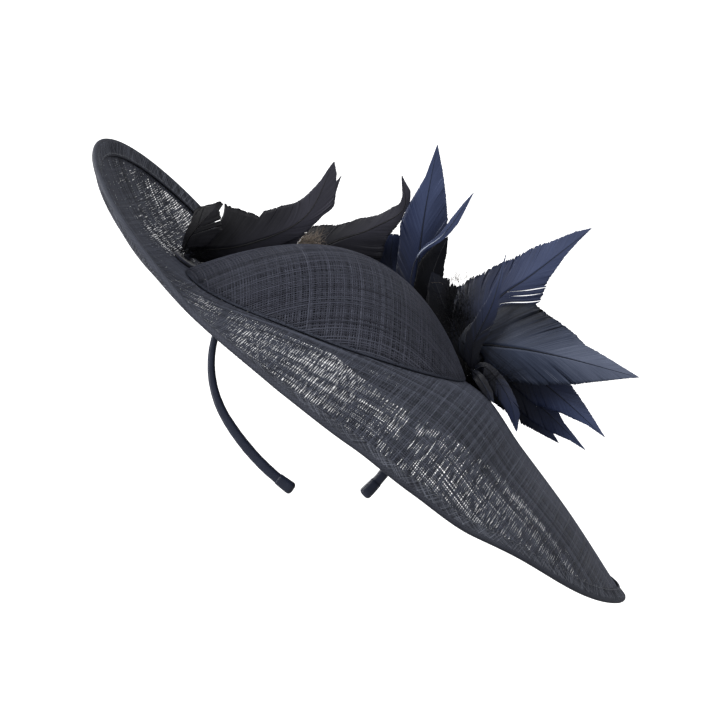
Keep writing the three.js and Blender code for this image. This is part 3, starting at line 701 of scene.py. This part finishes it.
def make_vane(strips, feather, curve, axes, side, rng):
    """One side of a feather: barbs from the quill out to the outline, joined edge to edge but for splits."""
    at, points = curve
    length = at[-1]
    roots = np.arange(0.02 * length, length - 0.5, BARB_SPACING)
    angle = barb_angles(roots / length, feather["spread"], rng)
    lean, cut = part_barbs(roots / length, side, feather["splits"])
    roots[1:][cut[:-1]] = roots[:-1][cut[:-1]] + 0.03
    share, width = np.array([*feather["right" if side > 0 else "left"], (100, 0)], float).T
    r = np.linspace(0, 90, 181)
    forward = roots[:, None] + r * np.cos(angle)[:, None]
    lateral = r * np.sin(angle)[:, None] * np.ones_like(forward)
    room = np.where(forward < length, np.interp(forward / length, share / 100, width), 0)
    reach = r[np.argmax(lateral > room, axis=1)]
    jag = np.abs(rng.standard_normal(len(roots)))
    reach = np.maximum(reach * (1 - feather["fray"] * jag), 0.4)
    step = np.linspace(0, 1, BARB_POINTS) * reach[:, None]
    a = roots[:, None] + step * np.cos(angle)[:, None] + lean
    across = step * np.sin(angle)[:, None]
    ripple = VANE_RIPPLE * np.sin(roots / length * 9 + rng.uniform(0, 6))[:, None]
    ridge = BARB_RIDGE * (np.arange(len(roots)) % 2)[:, None]
    rise = -VANE_CAMBER * across - VANE_HOLLOW * across**2 + ripple * across + ridge
    place = lambda values: np.stack([np.interp(a, at, values[:, k]) for k in range(3)], -1)
    sides, faces = axes
    grid = place(points) + side * across[..., None] * place(sides) + rise[..., None] * place(faces)
    strips.append((grid, place(faces), roots, step, cut, side))


def vane_mesh(strips):
    """Points, faces and UVs of a feather's two vanes, as thin closed sheets."""
    points, quads, uvs, start = [], [], [], 0
    for grid, face, roots, step, cut, side in strips:
        n, m = grid.shape[:2]
        edges = [0, *(np.flatnonzero(cut) + 1), n]
        for low, high in zip(edges[:-1], edges[1:]):
            if high - low < 2:
                continue
            part = grid[low:high]
            half = face[low:high] * VANE_THICKNESS / 2
            rows = high - low
            front = grid_quads(rows, m, start=start)
            back = grid_quads(rows, m, start=start + rows * m)[:, ::-1]
            index = np.arange(rows * m).reshape(rows, m)
            border = np.concatenate([index[0], index[1:, -1], index[-1, -2::-1], index[-2:0:-1, 0]]) + start
            after = np.roll(border, -1)
            rim = np.stack([after, border, border + rows * m, after + rows * m], -1)
            body = np.concatenate([front, back, rim])
            points += [(part + half).reshape(-1, 3), (part - half).reshape(-1, 3)]
            quads.append(body if side < 0 else body[:, ::-1])
            uv = np.stack([np.repeat(roots[low:high, None], m, 1), step[low:high]], -1).reshape(-1, 2)
            uvs += [uv, uv]
            start += 2 * rows * m
    return [np.concatenate(parts) for parts in (points, quads, uvs)]


def make_feather(place, materials, seed):
    feather = dict(zip(FEATHER_FIELDS, FEATHERS[place]))
    rng = np.random.default_rng(seed)
    curve = quill_curve(feather["line"])
    axes = feather_axes(curve[1], feather["turn"])
    strips = []
    for side in (-1, 1):
        make_vane(strips, feather, curve, axes, side, rng)
    points, quads, uv = vane_mesh(strips)
    dye = feather["dye"]
    slot = "navy_feather" if dye in ("navy", "slate") else "brown_feather"
    vane = materials[f"{dye}_feather"]
    make_piece(f"vane_{place}", points, quads, vane, slot, stands_for=[f"feather_{place}"], uv=uv)
    quill = "highlit_quill" if place == HIGHLIT_QUILL_FEATHER else f"{dye}_quill"
    make_quill(place, curve, axes, materials[quill], slot)


def make_quill(place, curve, axes, material, slot):
    """The tapered shaft, a little proud of the vane on both faces."""
    at, points = curve
    keep = slice(0, int(0.97 * len(at)), 4)
    taper = 1 - 0.88 * at[keep] / at[-1]
    radius = QUILL_RADIUS * taper + 0.06
    angle = np.linspace(0, 2 * np.pi, QUILL_SIDES + 1)[:-1]
    side, face = (v[keep][:, None] for v in axes)
    ring = np.cos(angle)[:, None] * side + np.sin(angle)[:, None] * face
    rings = points[keep][:, None] + radius[:, None, None] * ring
    rings = np.concatenate([rings[:1] * 0.02 + points[keep][:1, None] * 0.98, rings])
    quads = grid_quads(len(rings), QUILL_SIDES, close_columns=True)
    tint = np.repeat(np.concatenate([[0], at[keep] / at[-1]]), QUILL_SIDES)
    make_piece(f"quill_{place}", rings, quads, material, slot, tint=tint)


def make_down(word, materials, centre, spread, lean, count, size, material, slot, seed):
    """A tuft of down: thin curved barbs round a place."""
    rng = np.random.default_rng(seed)
    t = np.linspace(0, 1, DOWN_POINTS)[:, None]
    strands = Strands()
    for _ in range(count):
        root = np.array(centre) + rng.standard_normal(3) * spread
        heading = unit(np.array(lean) + 0.55 * rng.standard_normal(3))
        bend = 0.5 * rng.standard_normal(3)
        centres = root + size * rng.uniform(0.5, 1.1) * (heading * t + bend * t * t)
        normals = np.tile(unit(rng.standard_normal(3)), (DOWN_POINTS, 1))
        strands.add(centres, normals, 0.3 - 0.22 * t, 0.2 - 0.14 * t, rng.random())
    strands.make(f"down_tuft_{word}", materials[material], slot)


# Feather mounts

def standing_frame(s, d):
    """Position and axes of something that stands on the brim."""
    middle, up = with_normals(brim_surface, np.array([float(s)]), np.array([float(d)]))
    along = unit(np.array([1, 0, 0]) - up[0][0] * up[0])
    return middle[0], along, np.cross(up[0], along), up[0]


def make_pad(word, spot, material, seed):
    """A felt disc laid on the brim, following its curve, with a softly ragged edge."""
    rng = np.random.default_rng(seed)
    r, low, high = PAD_RADIUS, PAD_LIFT - 0.4, PAD_LIFT + PAD_THICKNESS
    profile = [(0.01, low), (r - 0.5, low), (r - 0.1, low + 0.4), (r, low + 1), (r - 0.15, high - 0.25),
               (r - 0.6, high), (0.5 * r, high + 0.06), (0.01, high + 0.08)]
    radius, height = np.array(profile).T
    ragged = radius[:, None] * (1 + 0.012 * rng.standard_normal(PAD_SIDES))
    angle = np.linspace(0, 2 * np.pi, PAD_SIDES, endpoint=False)
    s, d = spot[0] + ragged * np.cos(angle), spot[1] + ragged * np.sin(angle)
    points = lifted(brim_surface, s, d, height[:, None] * np.ones_like(s))
    quads = grid_quads(len(profile), PAD_SIDES, close_columns=True)
    make_piece(f"felt_pad_{word}", points, quads, material, "navy_felt",
               stands_for=[f"feather_pad_{word}"])


def make_mount(word, spot, materials, seed):
    make_pad(word, spot, materials["felt"], seed)
    middle, along, across, up = standing_frame(*spot)
    t = np.linspace(0, 1, WHIPPING_TURNS * 18)
    angle = (2 * np.pi * WHIPPING_TURNS * t)[:, None]
    radial = np.cos(angle) * along + np.sin(angle) * across
    base = PAD_LIFT + PAD_THICKNESS + 0.55
    centres = middle + (WHIPPING_RADIUS - 0.3) * radial + (base + (WHIPPING_HEIGHT - 0.6) * t)[:, None] * up
    strands = Strands()
    strands.add(centres, radial, 0.6, 0.6, 0.5)
    strands.make(f"thread_whipping_{word}", materials["thread"], "thread",
                 stands_for=[f"feather_whipping_{word}"])


# Materials: colours are in thousandths of full brightness

def rgba(thousandths):
    return (*(value / 1000 for value in thousandths), 1)


class Shader:
    """A material's node tree, with short ways to add and join nodes."""

    def __init__(self, name):
        self.material = bpy.data.materials.new(name)
        self.material.use_nodes = True
        self.tree = self.material.node_tree
        self.surface = self.tree.nodes["Principled BSDF"]

    def node(self, kind, inputs=None, **settings):
        made = self.tree.nodes.new(kind)
        for key, value in settings.items():
            setattr(made, key, value)
        for key, value in (inputs or {}).items():
            self.feed(made.inputs[key], value)
        return made

    def feed(self, socket, value):
        if isinstance(value, bpy.types.NodeSocket):
            self.tree.links.new(value, socket)
        else:
            socket.default_value = value

    def set(self, **inputs):
        for key, value in inputs.items():
            self.feed(self.surface.inputs[key.replace("_", " ")], value)

    def place(self, kind="UV"):
        return self.node("ShaderNodeTexCoord").outputs[kind]

    def scaled(self, scale=(1, 1, 1), kind="UV"):
        return self.node("ShaderNodeMapping", {"Vector": self.place(kind), "Scale": scale}).outputs[0]

    def noise(self, vector, scale, detail=3, roughness=0.55):
        inputs = {"Vector": vector, "Scale": scale, "Detail": detail, "Roughness": roughness}
        return self.node("ShaderNodeTexNoise", inputs).outputs["Fac"]

    def ramp(self, factor, stops):
        made = self.node("ShaderNodeValToRGB", {"Fac": factor})
        elements = made.color_ramp.elements
        elements[0].position, elements[1].position = stops[0][0], stops[-1][0]
        elements[0].color, elements[1].color = rgba(stops[0][1]), rgba(stops[-1][1])
        for position, colour in stops[1:-1]:
            elements.new(position).color = rgba(colour)
        return made.outputs["Color"]

    def math(self, operation, a, b):
        return self.node("ShaderNodeMath", {0: a, 1: b}, operation=operation).outputs[0]

    def mix(self, *parts):
        """The sum of (factor, share) parts."""
        scaled = [self.math("MULTIPLY", factor, share) for factor, share in parts]
        total = scaled[0]
        for part in scaled[1:]:
            total = self.math("ADD", total, part)
        return total

    def between(self, factor, low, high):
        return self.node("ShaderNodeMapRange", {"Value": factor, "To Min": low, "To Max": high}).outputs[0]

    def bump(self, height, strength, distance):
        made = self.node("ShaderNodeBump", {"Height": height, "Strength": strength, "Distance": distance})
        self.set(Normal=made.outputs[0])

    def tint(self):
        return self.node("ShaderNodeAttribute", attribute_name="tint").outputs["Fac"]


def sinamay_material(name, dark, light, variety):
    """Stiffened abaca straw: each thread its own shade, streaked along its fibres, with a soft gloss."""
    m = Shader(name)
    streaks = m.noise(m.place("Object"), 420, 5)
    patches = m.noise(m.place("Object"), 22, 2)
    shade = m.mix((m.tint(), variety), (streaks, 0.85 - variety), (patches, 0.15))
    middle = tuple(0.5 * (a + b) for a, b in zip(dark, light))
    m.set(Base_Color=m.ramp(shade, [(0.2, dark), (0.55, middle), (0.85, light)]))
    m.set(Roughness=m.between(streaks, 0.42, 0.65), Specular_IOR_Level=0.22)
    m.bump(m.noise(m.place("Object"), 2600, 2), 0.35, 0.00012)
    return m.material


def woven_strip_material(name, dark, light, pitch, turn):
    """Sinamay cut on the bias and folded flat, several layers thick: its threads cross at a slant."""
    m = Shader(name)
    uv = m.place()
    heights = []
    for angle in (turn, turn + np.pi / 2):
        turned = m.node("ShaderNodeMapping", {"Vector": uv, "Rotation": (0, 0, angle)}).outputs[0]
        inputs = {"Vector": turned, "Scale": 0.314 / pitch, "Distortion": 2.2, "Detail": 2,
                  "Detail Scale": 0.35}
        heights.append(m.node("ShaderNodeTexWave", inputs, wave_type="BANDS").outputs["Fac"])
    weave = m.math("MAXIMUM", *heights)
    worn = m.noise(uv, 0.08, 4)
    m.set(Base_Color=m.ramp(m.mix((weave, 0.6), (worn, 0.4)), [(0.25, dark), (0.8, light)]))
    m.set(Roughness=m.between(worn, 0.55, 0.75), Specular_IOR_Level=0.15)
    m.bump(weave, 0.55, 0.0003)
    return m.material


def satin_material():
    """Satin ribbon: fine floats across the ribbon, a soft sheen and slight creases along the band."""
    m = Shader("navy_satin_ribbon")
    floats = m.noise(m.scaled((5, 0.25, 1)), 1, 3)
    soft = m.noise(m.place(), 0.06, 2)
    shade = m.mix((floats, 0.5), (soft, 0.5))
    m.set(Base_Color=m.ramp(shade, [(0.3, (12, 16, 34)), (0.7, (24, 32, 62))]))
    m.set(Roughness=m.between(soft, 0.32, 0.46), Specular_IOR_Level=0.5)
    m.set(Sheen_Weight=0.25, Sheen_Roughness=0.4)
    m.bump(floats, 0.25, 0.0001)
    return m.material


def ribbon_material():
    """Grosgrain ribbon: raised ribs across its width."""
    m = Shader("navy_grosgrain")
    ribs = m.node("ShaderNodeTexWave", {"Vector": m.place(), "Scale": 0.3, "Distortion": 0.4}).outputs["Fac"]
    m.set(Base_Color=m.ramp(ribs, [(0.1, (10, 12, 26)), (0.9, (26, 32, 58))]))
    m.set(Roughness=m.between(ribs, 0.7, 0.5), Specular_IOR_Level=0.3)
    m.bump(ribs, 0.6, 0.0003)
    return m.material


def feather_material(name, dark, middle, light, gloss):
    """Dyed goose feather: satin barbs, streaked from quill to edge, with painted shade that makes it nearly
    black about the root, where the feathers overlap.
    """
    m = Shader(name)
    streaks = m.noise(m.scaled((0.9, 0.035, 1)), 1, 4, 0.65)
    broad = m.noise(m.place("Object"), 26, 2)
    along = m.node("ShaderNodeSeparateXYZ", {"Vector": m.place()}).outputs[0]
    # Painted shade: the vane is darkest at the root of its quill, where the feathers overlap in shadow, and
    # lighter towards the tip.
    painted_root_shade = m.node("ShaderNodeMapRange", {"Value": along, "From Min": 14, "From Max": 82}).outputs[0]
    shade = m.mix((streaks, 0.35), (broad, 0.25), (painted_root_shade, 0.4))
    m.set(Base_Color=m.ramp(shade, [(0.3, dark), (0.52, middle), (0.82, light)]))
    m.set(Roughness=m.between(streaks, 0.38, 0.55), Specular_IOR_Level=gloss)
    m.bump(m.noise(m.scaled((2.2, 0.02, 1)), 1, 2), 0.4, 0.0002)
    return m.material


def quill_material(name, stops):
    """The shaft, coloured by shares of its length."""
    m = Shader(name)
    flecks = m.noise(m.place("Object"), 300)
    share = m.math("ADD", m.tint(), m.math("MULTIPLY", flecks, 0.1))
    m.set(Base_Color=m.ramp(share, stops))
    m.set(Roughness=m.between(flecks, 0.42, 0.56), Specular_IOR_Level=0.3)
    m.bump(flecks, 0.1, 0.0001)
    return m.material


def fibre_material(name, dark, light, scale, roughness, sheen):
    """Felt or thread: tangled fibre shading at a given scale."""
    m = Shader(name)
    fibres = m.noise(m.place("Object"), scale, 6, 0.7)
    m.set(Base_Color=m.ramp(fibres, [(0.3, dark), (0.7, light)]), Sheen_Weight=sheen)
    m.set(Roughness=m.between(fibres, roughness, roughness - 0.15), Specular_IOR_Level=0.3)
    m.bump(fibres, 0.6, 0.0003)
    return m.material


def steel_material():
    m = Shader("spring_steel")
    drawn = m.noise(m.scaled((40, 40, 400), "Object"), 6)
    m.set(Base_Color=m.ramp(drawn, [(0.3, (420, 430, 450)), (0.7, (600, 610, 630))]), Metallic=1)
    m.set(Roughness=m.between(drawn, 0.28, 0.42))
    m.bump(drawn, 0.1, 0.00005)
    return m.material


# Each dye: dark, middle and light shades of the vane (the dark end also paints the shade about the root), its
# gloss, and the quill's shades at root and tip
DYES = {
    "navy": ((3, 4, 9), (17, 26, 70), (66, 90, 190), 0.35, (4, 5, 10), (20, 28, 55)),
    "slate": ((4, 6, 13), (34, 45, 80), (138, 161, 236), 0.35, (4, 5, 9), (24, 31, 52)),
    "brown": ((5, 5, 7), (19, 19, 26), (54, 53, 74), 0.22, (4, 4, 5), (14, 13, 14)),
    # black: a near-black copy of the navy dye, painted shade for the feathers and down that sit in shadow low
    # in the cluster.
    "black": ((1, 1.2, 2), (3, 3.5, 6), (8, 10, 18), 0.1, (3, 3, 5), (8, 9, 14)),
}
# Painted highlight: a pale streak part way up the blade's quill, where the edge of the blade catches the
# light.
QUILL_HIGHLIGHT_STOPS = [(0.5, (6, 8, 18)), (0.56, (420, 470, 580)), (0.68, (300, 340, 440)),
              (0.76, (20, 28, 55))]

# Each cloth, thread and fibre: its material's maker and name, then dark, light and what else that takes
FABRICS = {
    "brim": (sinamay_material, "brim_sinamay", (9, 10, 16), (114, 125, 166), 0.4),
    "crown": (sinamay_material, "crown_sinamay", (12, 13, 21), (82, 88, 119), 0.36),
    "lining": (sinamay_material, "crown_lining_sinamay", (6, 7, 12), (26, 29, 43), 0.3),
    "hem_threads": (sinamay_material, "bias_threads", (14, 16, 22), (170, 182, 225), 0.65),
    "hem": (woven_strip_material, "bias_strip", (8, 9, 13), (68, 73, 95), 0.9, 0.8),
    "edge": (woven_strip_material, "crown_fold", (10, 12, 18), (60, 67, 92), 0.8, 0.6),
    # stitch: pale thread, made lighter as a painted highlight for the light line along the bias strip's inner
    # edge.
    "stitch": (fibre_material, "stitch_thread_and_highlight", (100, 105, 120), (220, 230, 260), 1500, 0.7, 0.1),
    "thread": (fibre_material, "navy_thread", (10, 12, 22), (34, 38, 60), 1500, 0.7, 0.1),
    "felt": (fibre_material, "navy_felt", (8, 10, 20), (24, 28, 50), 900, 0.95, 0.5),
    "down": (fibre_material, "pale_down", (100, 75, 55), (320, 260, 210), 500, 0.8, 0.3),
}


def make_materials():
    made = {"satin": satin_material(), "ribbon": ribbon_material(), "steel": steel_material()}
    for word, (maker, *values) in FABRICS.items():
        made[word] = maker(*values)
    for word, (*vane, root, tip) in DYES.items():
        made[f"{word}_feather"] = feather_material(f"{word}_feather", *vane)
        made[f"{word}_quill"] = quill_material(f"{word}_quill", [(0.35, root), (0.98, tip)])
    made["highlit_quill"] = quill_material("highlit_quill", QUILL_HIGHLIGHT_STOPS)
    return made


def finish_cad_nodes(materials):
    """Gives the CAD nodes that stay their own materials."""
    kinds = {"rim_wire": "steel", "headband_core": "steel", "headband_keeper": "thread"}
    for name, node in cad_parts.items():
        for start, kind in kinds.items():
            if name.startswith(start):
                for slot in node.material_slots:
                    slot.material = materials[kind]


# Studio

def make_backdrop():
    """A round pale floor that sweeps up into walls and a ceiling, evenly bright and lighting nothing."""
    bend = WALL_RADIUS - FLOOR_RADIUS
    turn = np.linspace(0, np.pi / 2, SWEEP_STEPS)
    radius = np.concatenate([[1], FLOOR_RADIUS + bend * np.sin(turn), [WALL_RADIUS, 1]])
    height = np.concatenate([[0], bend - bend * np.cos(turn), [WALL_TOP, WALL_TOP]]) + FLOOR_Z
    angle = np.linspace(0, 2 * np.pi, WALL_SIDES, endpoint=False)
    radius, height = radius[:, None], height[:, None]
    points = np.stack([radius * np.cos(angle), radius * np.sin(angle), height * np.ones(WALL_SIDES)], -1) * MM
    mesh = bpy.data.meshes.new("backdrop")
    quads = grid_quads(len(radius), WALL_SIDES, close_columns=True)
    mesh.from_pydata(points.reshape(-1, 3).tolist(), [], quads.tolist())
    mesh.shade_smooth()
    m = Shader("pale_backdrop")
    m.set(Base_Color=(0.93, 0.93, 0.93, 1), Roughness=0.9, Specular_IOR_Level=0.1)
    m.set(Emission_Color=(1, 1, 1, 1), Emission_Strength=WALL_GLOW)
    mesh.materials.append(m.material)
    backdrop = add_object("backdrop", mesh)
    backdrop.visible_diffuse = False
    backdrop.visible_glossy = False
    backdrop.visible_shadow = False


def make_light(name, place, size, power):
    data = bpy.data.lights.new(name, "AREA")
    data.shape = "DISK"
    data.size = size
    data.energy = power
    light = add_object(name, data)
    light.location = place
    direction = np.array(LIT_CENTRE) - np.array(place)
    light.rotation_mode = "QUATERNION"
    light.rotation_quaternion = Vector(direction).to_track_quat("-Z", "Y")


def make_studio():
    world = bpy.data.worlds.new("studio")
    world.use_nodes = True
    sky = world.node_tree.nodes["Background"].inputs
    sky["Color"].default_value = (1, 1, 1, 1)
    sky["Strength"].default_value = WORLD_STRENGTH
    scene = bpy.context.scene
    scene.world = world
    scene.view_settings.view_transform = "Standard"
    for name, light in LIGHTS.items():
        make_light(name, *light)


def make_camera():
    """Level and square to the front, 1.8 m away, with a long lens."""
    data = bpy.data.cameras.new("camera")
    data.sensor_width = 36
    data.lens = CAMERA_LENS
    camera = add_object("camera", data)
    camera.location = CAMERA_PLACE
    camera.rotation_euler = (np.pi / 2, 0, 0)
    bpy.context.scene.camera = camera


def make_fascinator():
    materials = make_materials()
    make_brim(materials["brim"])
    make_band("rim_hem", materials["hem"], "bias_sinamay", ["rim_binding"])
    make_hem_threads(materials["hem_threads"])
    make_rim_stitches(materials["stitch"])
    make_crown(materials["crown"], materials["lining"])
    make_band("crown_edge", materials["edge"], "crown_sinamay")
    make_band("inner_ribbon", materials["ribbon"], "ribbon", ["seam_ribbon"])
    for word, leg in (("left", LEFT_LEG), ("right", RIGHT_LEG)):
        make_cover(leg, word, materials["satin"])
        make_cap(leg, word, materials["satin"])
    for seed, place in enumerate(FEATHERS, FEATHER_SEED):
        make_feather(place, materials, seed)
    for seed, (word, spot) in enumerate(MOUNTS.items(), MOUNT_SEED):
        make_mount(word, spot, materials, seed)
    for word, tuft in TUFTS.items():
        make_down(word, materials, *tuft)
    # Painted shade: near-black down round each mount, standing in for the shade at the roots of the feathers.
    for seed, (word, spot) in enumerate(MOUNTS.items(), BASE_TUFT_SEED):
        middle, along, across, up = standing_frame(*spot)
        make_down(f"base_{word}", materials, middle + 8 * up, (5, 5, 2), up + 0.8 * along, 240, 13,
                  "black_feather", "brown_feather", seed)
    finish_cad_nodes(materials)


make_camera()
make_studio()
make_backdrop()
make_fascinator()
